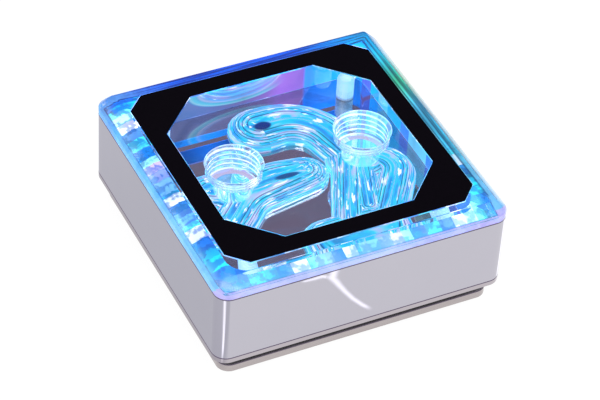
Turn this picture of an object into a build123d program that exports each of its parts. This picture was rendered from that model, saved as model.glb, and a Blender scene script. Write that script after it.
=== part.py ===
# Liquid cooling block for a computer processor, with a lit clear top.
# Origin at the middle of the face that lies on the processor, +Z up, millimetres.
# X runs along the line of the two hose ports, and the coolant enters at the port on -X.
import os

from build123d import *

# Driving sizes of the block
side = 69.0
corner_r = 3.3
housing_height = 17.05
wall = 2.5
cavity_r = 3.0
fit = 0.1
seat_gap = 0.2
edge_break = 0.15

# Clear top
rim_height = 4.4
rim_chamfer = 2.6
plug_gap = 3.0
plug_r = 4.0

# Hose ports, with the radius of the thread's crests
port_spacing = 31.2
port_y = 0.4
thread_r = 5.75
thread_mouth = 0.8
thread_depth = 6.5
drop_r = 4.3

# Milled channels in the underside of the clear top
channel_height = 5.2
channel_width = 10.8
link_width = 8.0
arm_width = 8.8
chamber_r = 7.8
gallery_bend = 7.0
arm_bend = 4.6
terrace_height_shares = (0.5, 0.8, 1.0)
terrace_inset_shares = (0.0, 0.2, 0.45)

# Route of the channels, in shares of half the plug's side
inlet_end_shares = (0.072, 0.028)
back_end_shares = (-0.055, 0.641)
back_bend_shares = (0.379, 0.641)
link_top_shares = (0.49, 0.11)
link_foot_shares = (0.114, -0.686)
front_end_shares = (-0.08, -0.686)
arm_top_shares = (0.855, -0.055)
arm_foot_shares = (0.414, -0.686)

# Black inlay in the top face
inlay_margin = 5.0
inlay_width = 4.4
inlay_cut = 4.2
window_cut = 9.8
inlay_thick = 0.6

# Middle plate, which is the mirror floor under the clear top
flange = 1.4
plate_rise = 1.45
boss_height = 0.75
slot_depth = 1.4
inlet_slot_length = 11.5
inlet_slot_width = 1.6
inlet_slot_x = -3.2
inlet_slot_y = 3.0
outlet_r = 1.8
outlet_x = 1.0
outlet_edge = 1.7

# Cold plate and its fins
base_inset = 2.0
base_r = 2.9
base_rim_thick = 2.0
base_thick = 4.2
fin_length = 27.0
fin_height = 2.7
fin_pitch = 0.8
fin_slit = 0.4
side_land = 3.75
end_land = 1.85

# Jet plate over the fins
jet_lap = 0.75
jet_thick = 1.0
jet_slot_end = 2.0
jet_slot_width = 1.0
jet_pocket_depth = 0.5
jet_pocket_width = 9.0

# Seals
top_seal_margin = 1.4
top_seal_cut = 13.7
top_seal_width = 1.2
top_seal_height = 0.9
base_seal_web = 0.95
base_seal_edge = 5.75
base_seal_r = 6.0
base_seal_width = 1.5
base_seal_height = 1.1

# Screws, put in from below, through both plates and into the clear top
screw_edge = 6.0
screw_r = 1.9
screw_head_r = 3.8
screw_sink = 0.15
screw_grip = 5.0
screw_hole_depth = 12.0
hex_r = 1.4
hex_depth = 1.6

# Light strip round the inside of the housing
tape_thick = 0.2
strip_thick = 0.3
strip_drop = 1.0
led_size = 5.0
led_thick = 1.6
led_pitch = 16.6
led_window_r = 1.9
led_window_depth = 0.25
led_window_sides = 8
chip_length = 2.0
chip_width = 1.25
chip_thick = 0.55

# Grommet for the light's lead, in the back wall
lead_r = 1.1
grommet_wall = 0.8
grommet_flare = 1.0
grommet_lip = 0.6
grommet_x = 17.0

# Levels and half sides that follow from the sizes above
z_flange = base_thick + boss_height
z_housing = z_flange + flange
z_rim = z_housing + housing_height
z_top = z_rim + rim_height
z_floor = z_housing + plate_rise
cavity_half = side / 2 - wall
plug_half = cavity_half - plug_gap
base_half = side / 2 - base_inset
boss_half = base_half - slot_depth
inlay_half = side / 2 - inlay_margin
window_half = inlay_half - inlay_width
top_seal_half = plug_half - top_seal_margin
port_x = port_spacing / 2
screw_at = plug_half - screw_edge
bush_r = lead_r + grommet_wall
lip_r = bush_r + grommet_flare
lead_z = z_floor + seat_gap + lip_r
strip_bottom = lead_z + lip_r + seat_gap
strip_height = z_rim - strip_drop - strip_bottom
strip_half = cavity_half - tape_thick
board_half = strip_half - strip_thick
lamp_z = strip_bottom + strip_height / 2
led_count = 1 + int((2 * (board_half - led_thick) - led_size) // led_pitch)
base_seal_x = 2 * (screw_at - screw_head_r - base_seal_web)
base_seal_y = 2 * (boss_half - base_seal_edge)
fin_field_x = base_seal_x - 2 * (base_seal_width + side_land)
fin_count = int(fin_field_x // fin_pitch)
trough_width = base_seal_y / 2 - base_seal_width - end_land - fin_length / 2
outlet_y = fin_length / 2 + trough_width - outlet_edge
jet_side_x = fin_field_x + 2 * jet_lap
jet_side_y = fin_length + 2 * jet_lap
jet_slot_length = fin_field_x - 2 * jet_slot_end


def on_plug(shares):
    """Point of the channels' route from its shares of half the plug's side."""
    return (shares[0] * plug_half, shares[1] * plug_half)


def octagon_points(half, cut):
    """Corners of a square with its four corners cut off at 45 degrees."""
    near = half - cut
    return [(near, half), (half, near), (half, -near), (near, -half),
            (-near, -half), (-half, -near), (-half, near), (-near, half)]


def octagon(half, cut, mode=Mode.ADD):
    """Cut-cornered square in the sketch that is open."""
    Polygon(*octagon_points(half, cut), mode=mode)


def stretch(line, width):
    """Milled stretch of one width along a centre line, with round ends."""
    outline = line.wire().offset_2d(width / 2, Kind.ARC, Side.BOTH, closed=True)
    make_face(outline.edges())


def channel_plan(inset):
    """Plan of all the channels, each wall moved in by the inset."""
    stretch(inlet_line, channel_width - 2 * inset)
    stretch(gallery_line, channel_width - 2 * inset)
    stretch(link_line, link_width - 2 * inset)
    stretch(front_line, channel_width - 2 * inset)
    stretch(arm_line, arm_width - 2 * inset)
    with Locations((-port_x, port_y), (port_x, port_y)):
        Circle(chamber_r - inset)


def corner_places(at):
    """The same place in the four corners."""
    return [(at, at), (at, -at), (-at, -at), (-at, at)]


def round_ring(size_x, size_y, radius, thick):
    """Rectangular ring with rounded corners, from its outer size."""
    RectangleRounded(size_x, size_y, radius)
    RectangleRounded(size_x - 2 * thick, size_y - 2 * thick, radius - thick, mode=Mode.SUBTRACT)


# Centre lines of the channels: inlet, gallery over the two outlets, and arm to the outlet port
with BuildLine() as inlet_line:
    Line((-port_x, port_y), on_plug(inlet_end_shares))
with BuildLine() as gallery_line:
    FilletPolyline(on_plug(back_end_shares), on_plug(back_bend_shares), on_plug(link_top_shares),
                   radius=gallery_bend)
with BuildLine() as link_line:
    Line(on_plug(link_top_shares), on_plug(link_foot_shares))
with BuildLine() as front_line:
    Line(on_plug(arm_foot_shares), on_plug(front_end_shares))
with BuildLine() as arm_line:
    FilletPolyline((port_x, port_y), on_plug(arm_top_shares), on_plug(arm_foot_shares), radius=arm_bend)

# Centre line of the seal round the channels
with BuildLine() as top_seal_line:
    Polyline(*octagon_points(top_seal_half, top_seal_cut), close=True)

# Cold plate: a thin rim under the groove, and fins slit into its raised middle between two troughs
with BuildPart() as cold_plate:
    with BuildSketch():
        RectangleRounded(2 * base_half, 2 * base_half, base_r)
    extrude(amount=base_rim_thick)
    chamfer(cold_plate.faces().filter_by(Axis.Z).edges(), length=edge_break)
    with BuildSketch(Plane.XY.offset(base_rim_thick)):
        RectangleRounded(2 * boss_half, 2 * boss_half, base_r)
    extrude(amount=base_thick - base_rim_thick)
    with BuildSketch(Plane.XY.offset(base_thick)):
        with GridLocations(0, fin_length + trough_width, 1, 2):
            Rectangle(fin_field_x, trough_width)
    extrude(amount=-fin_height, mode=Mode.SUBTRACT)
    with BuildSketch(Plane.XY.offset(base_thick)):
        with GridLocations(fin_pitch, 0, fin_count, 1):
            Rectangle(fin_slit, fin_length)
    extrude(amount=-fin_height, mode=Mode.SUBTRACT)
    with BuildSketch(Plane.XY.offset(base_thick)):
        round_ring(base_seal_x + 2 * fit, base_seal_y + 2 * fit, base_seal_r + fit, base_seal_width + 2 * fit)
    extrude(amount=-base_seal_height, mode=Mode.SUBTRACT)
    with Locations(*[Location((x, y, 0), (180, 0, 0)) for x, y in corner_places(screw_at)]):
        CounterSinkHole(screw_r + fit, screw_head_r + fit + screw_sink, depth=base_thick)
cold_plate.part.label = "cold_plate"

# Seal of the cold plate, in its groove
with BuildPart() as cold_plate_seal:
    with BuildSketch(Plane.XY.offset(base_thick - base_seal_height)):
        round_ring(base_seal_x, base_seal_y, base_seal_r, base_seal_width)
    extrude(amount=base_seal_height)
cold_plate_seal.part.label = "cold_plate_seal"

# Jet plate: it lies on the fins and lets the coolant down through one slot
with BuildPart() as jet_plate:
    with BuildSketch(Plane.XY.offset(base_thick)):
        Rectangle(jet_side_x, jet_side_y)
    extrude(amount=jet_thick)
    with BuildSketch(Plane.XY.offset(base_thick + jet_thick)):
        Rectangle(jet_slot_length, jet_pocket_width)
    extrude(amount=-jet_pocket_depth, mode=Mode.SUBTRACT)
    with BuildSketch(Plane.XY.offset(base_thick)):
        Rectangle(jet_slot_length, jet_slot_width)
    extrude(amount=jet_thick, mode=Mode.SUBTRACT)
jet_plate.part.label = "jet_plate"

# Middle plate: its flange closes the housing, and its polished top is the floor of the channels
with BuildPart() as middle_plate:
    with BuildSketch(Plane.XY.offset(z_flange)):
        RectangleRounded(side, side, corner_r)
    extrude(amount=flange)
    chamfer(middle_plate.faces().filter_by(Axis.Z).edges(), length=edge_break)
    with BuildSketch(Plane.XY.offset(base_thick)):
        RectangleRounded(2 * boss_half, 2 * boss_half, base_r)
    extrude(amount=boss_height)
    with BuildSketch(Plane.XY.offset(z_housing)):
        RectangleRounded(2 * (cavity_half - seat_gap), 2 * (cavity_half - seat_gap), cavity_r - seat_gap)
    extrude(amount=z_floor - z_housing)
    with BuildSketch(Plane.XY.offset(base_thick)):
        Rectangle(jet_side_x + 2 * fit, jet_side_y + 2 * fit)
    extrude(amount=jet_thick, mode=Mode.SUBTRACT)
    with BuildSketch(Plane.XY.offset(base_thick)):
        with Locations((inlet_slot_x, inlet_slot_y)):
            SlotOverall(inlet_slot_length, inlet_slot_width)
        with Locations((outlet_x, outlet_y), (outlet_x, -outlet_y)):
            Circle(outlet_r)
        with Locations(*corner_places(screw_at)):
            Circle(screw_r + fit)
    extrude(amount=z_floor - base_thick, mode=Mode.SUBTRACT)
middle_plate.part.label = "middle_plate"

# Housing: a square ring round the clear top, with a hole for the light's lead in its back wall
with BuildPart() as housing:
    with BuildSketch(Plane.XY.offset(z_housing)):
        RectangleRounded(side, side, corner_r)
    extrude(amount=housing_height)
    chamfer(housing.faces().filter_by(Axis.Z).edges(), length=edge_break)
    with BuildSketch(Plane.XY.offset(z_housing)):
        RectangleRounded(2 * cavity_half, 2 * cavity_half, cavity_r)
    extrude(amount=housing_height, mode=Mode.SUBTRACT)
    with BuildSketch(Plane.XZ.offset(-side / 2)):
        with Locations((grommet_x, lead_z)):
            Circle(bush_r + fit)
    extrude(amount=wall, mode=Mode.SUBTRACT)
housing.part.label = "housing"

# Grommet: rubber, pushed through the back wall from inside, with a lip against the wall
with BuildPart() as lead_grommet:
    with BuildSketch(Plane.XZ.offset(-side / 2)):
        with Locations((grommet_x, lead_z)):
            Circle(bush_r)
    extrude(amount=wall)
    with BuildSketch(Plane.XZ.offset(-cavity_half)):
        with Locations((grommet_x, lead_z)):
            Circle(lip_r)
    extrude(amount=grommet_lip)
    with BuildSketch(Plane.XZ.offset(-side / 2)):
        with Locations((grommet_x, lead_z)):
            Circle(lead_r)
    extrude(amount=wall + grommet_lip, mode=Mode.SUBTRACT)
lead_grommet.part.label = "lead_grommet"

# Clear top: a rim that lies on the housing and a plug that reaches down to the middle plate
with BuildPart() as clear_top:
    with BuildSketch(Plane.XY.offset(z_rim)):
        RectangleRounded(side, side, corner_r)
    extrude(amount=rim_height)
    chamfer(clear_top.edges().group_by(Axis.Z)[-1], length=rim_chamfer)
    chamfer(clear_top.edges().group_by(Axis.Z)[0], length=edge_break)
    with BuildSketch(Plane.XY.offset(z_floor)):
        RectangleRounded(2 * plug_half, 2 * plug_half, plug_r)
    extrude(amount=z_rim - z_floor)
    with BuildSketch(Plane.XY.offset(z_top)):
        octagon(inlay_half + fit, inlay_cut)
        octagon(window_half - fit, window_cut, mode=Mode.SUBTRACT)
    extrude(amount=-inlay_thick, mode=Mode.SUBTRACT)
    for height_share, inset_share in zip(terrace_height_shares, terrace_inset_shares):
        with BuildSketch(Plane.XY.offset(z_floor)):
            channel_plan(channel_width / 2 * inset_share)
        extrude(amount=channel_height * height_share, mode=Mode.SUBTRACT)
    with BuildSketch(Plane.XY.offset(z_floor)):
        with Locations((-port_x, port_y), (port_x, port_y)):
            Circle(drop_r)
    extrude(amount=z_top - z_floor, mode=Mode.SUBTRACT)
    with BuildSketch(Plane.XY.offset(z_top)):
        with Locations((-port_x, port_y), (port_x, port_y)):
            Circle(thread_r)
    extrude(amount=-thread_depth, mode=Mode.SUBTRACT)
    with BuildSketch(Plane.XY.offset(z_top)):
        with Locations((-port_x, port_y), (port_x, port_y)):
            Circle(thread_r + thread_mouth)
    extrude(amount=-thread_mouth, taper=45, mode=Mode.SUBTRACT)
    with BuildSketch(Plane.XY.offset(z_floor)):
        with Locations(*corner_places(screw_at)):
            Circle(screw_r)
    extrude(amount=screw_hole_depth, mode=Mode.SUBTRACT)
    with BuildSketch(Plane.XY.offset(z_floor)):
        trace(top_seal_line.edges(), line_width=top_seal_width + 2 * fit)
    extrude(amount=top_seal_height, mode=Mode.SUBTRACT)
clear_top.part.label = "clear_top"

# Seal between the clear top and the middle plate, in its groove round the channels
with BuildPart() as channel_seal:
    with BuildSketch(Plane.XY.offset(z_floor)):
        trace(top_seal_line.edges(), line_width=top_seal_width)
    extrude(amount=top_seal_height)
channel_seal.part.label = "channel_seal"

# Black inlay: a flat frame let into the top face, round the window
with BuildPart() as black_inlay:
    with BuildSketch(Plane.XY.offset(z_top - inlay_thick)):
        octagon(inlay_half, inlay_cut)
        octagon(window_half, window_cut, mode=Mode.SUBTRACT)
    extrude(amount=inlay_thick)
black_inlay.part.label = "black_inlay"

# Light strip: tape on the housing wall, the flexible board on the tape, lamps and chips on the board
with BuildPart() as strip_tape:
    with BuildSketch(Plane.XY.offset(strip_bottom)):
        round_ring(2 * cavity_half, 2 * cavity_half, cavity_r, tape_thick)
    extrude(amount=strip_height)
strip_tape.part.label = "strip_tape"

with BuildPart() as light_strip:
    with BuildSketch(Plane.XY.offset(strip_bottom)):
        round_ring(2 * strip_half, 2 * strip_half, cavity_r - tape_thick, strip_thick)
    extrude(amount=strip_height)
light_strip.part.label = "light_strip"

with BuildPart() as lamp_window:
    with BuildSketch(Plane.YZ.offset(-led_window_depth / 2)):
        RegularPolygon(led_window_r, led_window_sides)
    extrude(amount=led_window_depth)

with BuildPart() as strip_lamps:
    with Locations((0, 0, lamp_z)):
        with PolarLocations(board_half - led_thick / 2, 4):
            with GridLocations(0, led_pitch, 1, led_count):
                Box(led_thick, led_size, led_size)
        with PolarLocations(board_half - led_thick + led_window_depth / 2, 4):
            with GridLocations(0, led_pitch, 1, led_count):
                add(lamp_window, mode=Mode.SUBTRACT)
strip_lamps.part.label = "strip_lamps"

with BuildPart() as strip_chips:
    with Locations((0, 0, lamp_z)):
        with PolarLocations(board_half - chip_thick / 2, 4):
            with GridLocations(0, led_pitch, 1, led_count - 1):
                Box(chip_thick, chip_width, chip_length)
strip_chips.part.label = "strip_chips"

# Screws: countersunk a little below the cold plate's face, through both plates into the clear top
with BuildPart() as clamp_screws:
    with Locations(*[(x, y, screw_sink) for x, y in corner_places(screw_at)]):
        Cylinder(screw_r, z_floor + screw_grip - screw_sink, align=(Align.CENTER, Align.CENTER, Align.MIN))
        Cone(screw_head_r, screw_r, screw_head_r - screw_r, align=(Align.CENTER, Align.CENTER, Align.MIN))
    with BuildSketch(Plane.XY.offset(screw_sink)):
        with Locations(*corner_places(screw_at)):
            RegularPolygon(hex_r, 6)
    extrude(amount=hex_depth, mode=Mode.SUBTRACT)
clamp_screws.part.label = "clamp_screws"

os.makedirs("parts", exist_ok=True)
export_step(cold_plate.part, "parts/cold_plate.step")
export_step(cold_plate_seal.part, "parts/cold_plate_seal.step")
export_step(jet_plate.part, "parts/jet_plate.step")
export_step(middle_plate.part, "parts/middle_plate.step")
export_step(housing.part, "parts/housing.step")
export_step(lead_grommet.part, "parts/lead_grommet.step")
export_step(clear_top.part, "parts/clear_top.step")
export_step(channel_seal.part, "parts/channel_seal.step")
export_step(black_inlay.part, "parts/black_inlay.step")
export_step(strip_tape.part, "parts/strip_tape.step")
export_step(light_strip.part, "parts/light_strip.step")
export_step(strip_lamps.part, "parts/strip_lamps.step")
export_step(strip_chips.part, "parts/strip_chips.step")
export_step(clamp_screws.part, "parts/clamp_screws.step")
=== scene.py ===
import math

import bmesh
import bpy
from mathutils import Euler, Matrix, Vector


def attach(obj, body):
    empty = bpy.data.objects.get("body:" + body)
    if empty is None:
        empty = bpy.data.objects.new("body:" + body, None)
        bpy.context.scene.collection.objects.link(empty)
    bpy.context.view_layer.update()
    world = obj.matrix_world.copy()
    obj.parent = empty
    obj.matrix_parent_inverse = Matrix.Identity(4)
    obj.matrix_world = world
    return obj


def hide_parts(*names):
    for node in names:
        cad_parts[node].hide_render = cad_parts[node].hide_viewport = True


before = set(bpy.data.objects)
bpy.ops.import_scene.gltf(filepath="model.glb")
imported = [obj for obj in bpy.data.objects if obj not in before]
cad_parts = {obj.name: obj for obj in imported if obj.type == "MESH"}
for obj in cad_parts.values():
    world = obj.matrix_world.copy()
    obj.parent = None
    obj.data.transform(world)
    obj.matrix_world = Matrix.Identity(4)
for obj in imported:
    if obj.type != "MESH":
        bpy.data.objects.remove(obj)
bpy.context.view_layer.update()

# Cold plate: copper, nickel plated, fine ground on its face and rim, with the fins slit into its top.
# Its raised middle is clamped up against the middle plate, and leaves the groove for the bracket,
# whose walls carry painted shade: darker and less metallic, and less so near the +X end.
groove_floor, groove_wall_top = 0.00197, 0.0043


def feed(tree, node, inputs):
    """Gives inputs of a node, by name or number, their values: plain ones, or sockets to link them to."""
    for name, value in inputs.items():
        if isinstance(value, bpy.types.NodeSocket):
            tree.links.new(value, node.inputs[name])
        else:
            node.inputs[name].default_value = value


def add_node(tree, kind, inputs, **settings):
    """One node with its settings and its inputs."""
    node = tree.nodes.new(kind)
    for name, value in settings.items():
        setattr(node, name, value)
    feed(tree, node, inputs)
    return node


def new_material(name):
    """A material, its nodes, its Principled shader and the Object coordinates that the patterns here read."""
    material = bpy.data.materials.new(name)
    material.use_nodes = True
    tree = material.node_tree
    place = add_node(tree, "ShaderNodeTexCoord", {})
    return material, tree, tree.nodes["Principled BSDF"], place.outputs["Object"]


def add_math(tree, operation, *values):
    """Result of one Math node, whose inputs may be numbers or sockets."""
    return add_node(tree, "ShaderNodeMath", dict(enumerate(values)), operation=operation).outputs[0]


def add_mix(tree, share, first, second):
    """Colour between two, each a plain one or a socket."""
    first, second = [(*hue, 1) if isinstance(hue, tuple) else hue for hue in (first, second)]
    return add_node(tree, "ShaderNodeMix", {0: share, 6: first, 7: second}, data_type="RGBA").outputs[2]


def add_noise(tree, place, waves, detail=2.0):
    """Noise with so many waves to a unit."""
    inputs = {"Vector": place, "Scale": waves, "Detail": detail}
    return add_node(tree, "ShaderNodeTexNoise", inputs).outputs["Fac"]


def drawn_noise(tree, place, waves, detail=2.0):
    """Noise drawn out along some axes, with its own number of waves for each."""
    stretch = add_node(tree, "ShaderNodeMapping", {"Vector": place, "Scale": waves})
    return add_noise(tree, stretch.outputs["Vector"], 1.0, detail)


def fine_relief(tree, height, strength):
    """Normal of a grain that is a fiftieth of a millimetre deep at full strength."""
    inputs = {"Height": height, "Strength": strength, "Distance": 0.00002}
    return add_node(tree, "ShaderNodeBump", inputs).outputs["Normal"]


def ground_metal(name, pale, deep, rough, grain, waves=(40, 1200, 1200)):
    """Metal with a fine ground or polished grain: its colour, roughness and height follow one noise."""
    material, tree, shader, place = new_material(name)
    noise = drawn_noise(tree, place, waves, 3.0)
    colour = add_mix(tree, noise, deep, pale)
    feed(tree, shader, {
        "Base Color": colour,
        "Metallic": 1.0,
        "Roughness": add_math(tree, "MULTIPLY_ADD", noise, rough * 0.6, rough * 0.7),
        "Normal": fine_relief(tree, noise, grain)})
    return material, tree, shader, place, colour


def split_axes(tree, place):
    """The X, Y and Z of a place."""
    return add_node(tree, "ShaderNodeSeparateXYZ", {0: place}).outputs


def is_between(tree, value, low, high):
    """1 where a value lies between two bounds, and 0 elsewhere."""
    above = add_math(tree, "GREATER_THAN", value, low)
    return add_math(tree, "MULTIPLY", above, add_math(tree, "LESS_THAN", value, high))


def paint_groove_shade(tree, shader, place, colour, low, high):
    """Paints shade into the bracket groove, between two levels: darker, less metallic metal, and less so near
    its +X end.
    """
    axes = split_axes(tree, place)
    inside = is_between(tree, axes["Z"], low, high)
    fade = add_node(tree, "ShaderNodeMapRange", {
        "Value": axes["X"], "From Min": 0.024, "From Max": 0.0315, "To Max": 0.55})
    groove_shade = add_mix(tree, fade.outputs["Result"], (0.17, 0.16, 0.175), (0.28, 0.27, 0.30))
    feed(tree, shader, {
        "Base Color": add_mix(tree, inside, colour, groove_shade),
        "Metallic": add_math(tree, "MULTIPLY_ADD", inside, -0.75, 1.0)})


nickel, tree, shader, place, colour = ground_metal(
    "nickel_on_copper", (0.50, 0.455, 0.455), (0.43, 0.385, 0.385), 0.2, 0.35)
# Painted shade in the bracket groove: darker, less metallic walls.
paint_groove_shade(tree, shader, place, colour, groove_floor, groove_wall_top)
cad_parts["cold_plate"].data.materials[0] = nickel

# Seal of the cold plate and grommet of the lead: moulded black rubber, pressed into a groove and a hole.
# Rubber this fine shows a dull skin with a slight bloom.
bloom_waves, rubber_rough = 900.0, 0.65


def mottled_material(name, dark, pale, waves, rough, detail=2.0):
    """Material whose colour wanders between two, with its noise."""
    material, tree, shader, place = new_material(name)
    mottle = add_noise(tree, place, waves, detail)
    feed(tree, shader, {"Base Color": add_mix(tree, mottle, dark, pale), "Roughness": rough})
    return material, tree, shader, place, mottle


rubber = mottled_material(
    "moulded_rubber", (0.008, 0.008, 0.009), (0.022, 0.022, 0.024), bloom_waves, rubber_rough)[0]
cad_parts["cold_plate_seal"].data.materials[0] = rubber
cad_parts["lead_grommet"].data.materials[0] = rubber

# Jet plate: stainless sheet, laser cut, brushed along its length.
# It lies on the fins and is held by the middle plate.
stainless = ground_metal("brushed_stainless", (0.60, 0.60, 0.61), (0.42, 0.42, 0.43), 0.28, 0.5)[0]
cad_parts["jet_plate"].data.materials[0] = stainless

# Middle plate: brass, plated and polished to a mirror, which is the floor seen through the clear top.
# Its flange shows as the thin band under the housing, and the groove under it carries painted shade.
groove_roof_low, groove_roof_high = 0.004, 0.00497
mirror_waves = (70, 70, 70)
mirror_plate, tree, shader, place, colour = ground_metal(
    "polished_plate", (0.50, 0.46, 0.49), (0.47, 0.43, 0.46), 0.04, 0.01, mirror_waves)
# Painted shade under the flange: darker, less metallic groove roof.
paint_groove_shade(tree, shader, place, colour, groove_roof_low, groove_roof_high)
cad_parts["middle_plate"].data.materials[0] = mirror_plate

# Housing: a square brass ring, plated and polished to a mirror on the outside.
# The screws clamp it between the middle plate's flange and the clear top's rim.
mirror_housing = ground_metal(
    "polished_housing", (0.515, 0.50, 0.56), (0.495, 0.48, 0.54), 0.035, 0.01, mirror_waves)[0]
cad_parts["housing"].data.materials[0] = mirror_housing

# Light strip: white tape, a flexible board with a white solder mask, lamp packages and chips on it.
# The tape holds it to the inside of the housing, and each lamp shows its own colour of a slow rainbow.
lamp_pitch = 0.0166
light_hues = ((0.0, (0.10, 0.46, 1.0)), (0.125, (0.10, 0.42, 1.0)), (0.25, (0.06, 0.62, 1.0)),
              (0.36, (0.10, 0.40, 1.0)), (0.44, (0.02, 0.50, 0.70)), (0.53, (0.06, 0.42, 0.60)),
              (0.57, (0.05, 0.62, 0.30)), (0.62, (0.0, 0.40, 0.75)), (0.68, (0.0, 0.12, 0.78)),
              (0.85, (0.0, 0.12, 0.78)), (0.92, (0.0, 0.34, 0.95)), (1.0, (0.06, 0.46, 0.95)))


def spread_hues(tree, share, hues, steps="LINEAR"):
    """Colour from a list of places and hues, in rising order."""
    ramp = add_node(tree, "ShaderNodeValToRGB", {"Fac": share})
    ramp.color_ramp.interpolation = steps
    stops = ramp.color_ramp.elements
    stops[0].position = hues[0][0]
    stops[1].position = hues[-1][0]
    for stop_place, hue in hues[1:-1]:
        stops.new(stop_place)
    for index, (stop_place, hue) in enumerate(hues):
        stops[index].color = (*hue, 1)
    return ramp.outputs["Color"]


def light_hue(tree, place):
    """Colour of the strip's light by the direction from the middle of the block."""
    around = add_node(tree, "ShaderNodeTexGradient", {"Vector": place}, gradient_type="RADIAL")
    return spread_hues(tree, around.outputs["Fac"], light_hues)


def blend_values(tree, share, first, second):
    """Number between two, each a plain one or a socket."""
    return add_node(tree, "ShaderNodeMix", {0: share, 2: first, 3: second}).outputs[0]


def along_and_across(tree, place):
    """How far along its wall a point lies, and how far out from the middle of the block."""
    axes = split_axes(tree, place)
    side_x = add_math(tree, "ABSOLUTE", axes["X"])
    side_y = add_math(tree, "ABSOLUTE", axes["Y"])
    cross_wall = add_math(tree, "GREATER_THAN", side_y, side_x)
    along = blend_values(tree, cross_wall, axes["Y"], axes["X"])
    return along, add_math(tree, "MAXIMUM", side_x, side_y)


def lamp_beat(tree, place, sharpness):
    """One peak of brightness at each lamp along the four walls."""
    along = along_and_across(tree, place)[0]
    phase = add_math(tree, "MULTIPLY", along, math.tau / lamp_pitch)
    wave = add_math(tree, "COSINE", add_math(tree, "SUBTRACT", phase, math.pi))
    return add_math(tree, "POWER", add_math(tree, "MULTIPLY_ADD", wave, 0.5, 0.5), sharpness)


def painted_glow_material(name, body, rough, low, high, whiten, sharpness=2.0):
    """Plastic with the strip's light painted on as an emitted glow, whose hue and level follow the lamps."""
    dark_body = tuple(part * 0.85 for part in body)
    material, tree, shader, place, mottle = mottled_material(name, dark_body, body, 700.0, rough)
    beat = lamp_beat(tree, place, sharpness)
    pale = add_math(tree, "MULTIPLY", beat, whiten)
    hue = add_mix(tree, pale, light_hue(tree, place), (0.75, 0.97, 1.0))
    glow = add_math(tree, "MULTIPLY_ADD", beat, high - low, low)
    feed(tree, shader, {"Emission Color": hue, "Emission Strength": glow})
    return material, tree, shader, place, hue, glow


# The tape and the solder mask get the lamps' light painted on as a glow; only the lamp bodies are lamps.
for strip_part, name, body, rough, low, high, whiten in (
        ("strip_tape", "strip_adhesive", (0.8, 0.8, 0.78), 0.6, 0.3, 0.8, 0.1),
        ("light_strip", "strip_solder_mask", (0.82, 0.85, 0.87), 0.45, 0.3, 1.0, 0.2),
        ("strip_lamps", "lamp_body", (0.8, 0.86, 0.9), 0.35, 1.5, 4.0, 0.4)):
    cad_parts[strip_part].data.materials[0] = painted_glow_material(name, body, rough, low, high, whiten)[0]
chip = mottled_material("chip_body", (0.05, 0.05, 0.055), (0.11, 0.11, 0.12), 1500.0, 0.5)[0]
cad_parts["strip_chips"].data.materials[0] = chip


def add_object(name, data):
    """An object of the data, in the scene."""
    added = bpy.data.objects.new(name, data)
    bpy.context.scene.collection.objects.link(added)
    return added


def apply_modifiers(changed):
    """Gives an object the plain mesh that its modifiers result in."""
    bpy.context.view_layer.update()
    graph = bpy.context.evaluated_depsgraph_get()
    result = bpy.data.meshes.new_from_object(changed.evaluated_get(graph))
    changed.modifiers.clear()
    changed.data = result


# The lamps' solder joints: tin, two small fillets on each side of each package, on all four walls.
# A row of four lamps is made once and turned from wall to wall.
row_lamps, wall_count = 4, 4
solder = ground_metal("solder_tin", (0.62, 0.63, 0.66), (0.48, 0.49, 0.52), 0.3, 0.3)[0]
joints = bpy.data.node_groups.new("solder_joints", "GeometryNodeTree")
joint_sizes = {}
for name, kind, value in (
        ("Wall reach", "NodeSocketFloat", 0.03145), ("Lamp level", "NodeSocketFloat", 0.0182),
        ("Lamp pitch", "NodeSocketFloat", lamp_pitch), ("Joint spread", "NodeSocketFloat", 0.0052),
        ("Joint size", "NodeSocketFloat", 0.00042), ("Seed", "NodeSocketInt", 4)):
    socket = joints.interface.new_socket(name=name, in_out="INPUT", socket_type=kind)
    joint_sizes[socket.identifier] = value
joints.interface.new_socket(name="Geometry", in_out="OUTPUT", socket_type="NodeSocketGeometry")
given = joints.nodes.new("NodeGroupInput").outputs
drop = add_node(joints, "GeometryNodeMeshUVSphere", {
    "Segments": 10, "Rings": 6, "Radius": given["Joint size"]})
pads = add_node(joints, "GeometryNodeMeshGrid", {
    "Size X": given["Joint spread"], "Size Y": 0.0024, "Vertices X": 2, "Vertices Y": 2})
size = add_node(joints, "FunctionNodeRandomValue", {
    0: (0.8, 1.2, 0.7), 1: (1.1, 1.6, 0.9), "Seed": given["Seed"]}, data_type="FLOAT_VECTOR")
fillets = add_node(joints, "GeometryNodeInstanceOnPoints", {
    "Points": pads.outputs["Mesh"], "Instance": drop.outputs["Mesh"], "Scale": size.outputs[0]})
stand = add_node(joints, "GeometryNodeTransform", {
    "Geometry": fillets.outputs[0], "Rotation": (math.radians(90), 0, 0)})
first_lamp = add_node(joints, "ShaderNodeCombineXYZ", {
    "X": add_math(joints, "MULTIPLY", given["Lamp pitch"], (1 - row_lamps) / 2),
    "Y": given["Wall reach"], "Z": given["Lamp level"]})
lamp_step = add_node(joints, "ShaderNodeCombineXYZ", {"X": given["Lamp pitch"]})
lamp_row = add_node(joints, "GeometryNodeMeshLine", {
    "Count": row_lamps, "Start Location": first_lamp.outputs[0], "Offset": lamp_step.outputs[0]})
row = add_node(joints, "GeometryNodeInstanceOnPoints", {
    "Points": lamp_row.outputs["Mesh"], "Instance": stand.outputs[0]})
walls = add_node(joints, "GeometryNodeMeshLine", {"Count": wall_count, "Offset": (0, 0, 0)})
wall_number = add_node(joints, "GeometryNodeInputIndex", {})
facing = add_node(joints, "ShaderNodeCombineXYZ", {
    "Z": add_math(joints, "MULTIPLY", wall_number.outputs[0], math.tau / wall_count)})
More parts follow.
